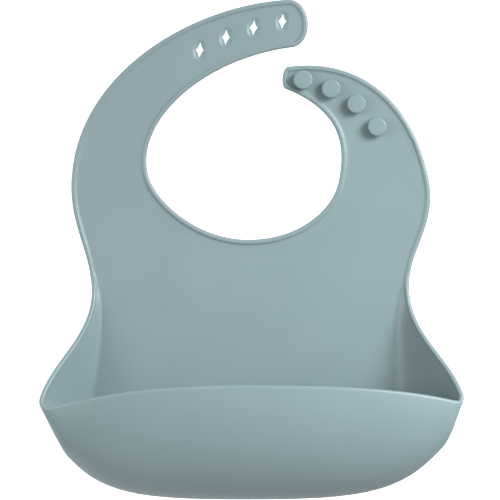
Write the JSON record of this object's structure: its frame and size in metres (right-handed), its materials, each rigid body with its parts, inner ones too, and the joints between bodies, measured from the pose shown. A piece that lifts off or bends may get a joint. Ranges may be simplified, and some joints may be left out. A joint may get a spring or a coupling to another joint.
{
  "type": "silicone bib",
  "caption": "soft moulded bib with a chest panel, a neck opening, one perforated and one studded strap that fasten behind the neck, and a front pocket that catches crumbs",
  "frame": {"origin": "centre of the neck opening, in the plane of the panel's back face", "axes": "+Z towards the strap ends, front of the bib faces -Y, back face lies in Y = 0, X across the chest with the perforated strap on -X"},
  "size_m": [0.2309, 0.0621, 0.2778],
  "materials": {
    "silicone": "satin"
  },
  "bodies": {
    "bib_body": {"chest_panel": "silicone", "hole_strap_fold_zone": "silicone", "stud_strap_fold_zone": "silicone", "gusset_hole_side": "silicone", "gusset_stud_side": "silicone", "catcher_keel": "silicone"},
    "hole_strap": {"hole_strap_arm": "silicone", "hole_strap_lift_zone": "silicone"},
    "hole_strap_tip": {"hole_strap_end": "silicone"},
    "stud_strap": {"stud_strap_arm": "silicone", "stud_1": "silicone", "stud_2": "silicone", "stud_3": "silicone", "stud_4": "silicone"},
    "catcher": {"catcher_front_wall": "silicone"}
  },
  "joints": [
    {"name": "hole_strap_fold", "type": "hinge", "parent": "bib_body", "child": "hole_strap", "pos_m": [0, -0.001, -0.0011], "axis": [-1, 0, 0], "range_deg": [-15, 90], "stiffness_Nm_per_rad": 0.1, "deforming": ["hole_strap_fold_zone"]},
    {"name": "stud_strap_fold", "type": "hinge", "parent": "bib_body", "child": "stud_strap", "pos_m": [0, -0.001, -0.0011], "axis": [-1, 0, 0], "range_deg": [-15, 90], "stiffness_Nm_per_rad": 0.1, "deforming": ["stud_strap_fold_zone"]},
    {"name": "hole_strap_lift", "type": "hinge", "parent": "hole_strap", "child": "hole_strap_tip", "pos_m": [-0.04432, -0.001, 0.04411], "axis": [0.5935, 0, -0.8049], "range_deg": [-20, 60], "stiffness_Nm_per_rad": 0.05, "deforming": ["hole_strap_lift_zone"]},
    {"name": "catcher_flex", "type": "hinge", "parent": "bib_body", "child": "catcher", "pos_m": [0, -0.022, -0.178], "axis": [1, 0, 0], "range_deg": [-20, 15], "stiffness_Nm_per_rad": 1.5, "springref_deg": -0.57, "deforming": ["gusset_hole_side", "gusset_stud_side", "catcher_keel"]}
  ]
}
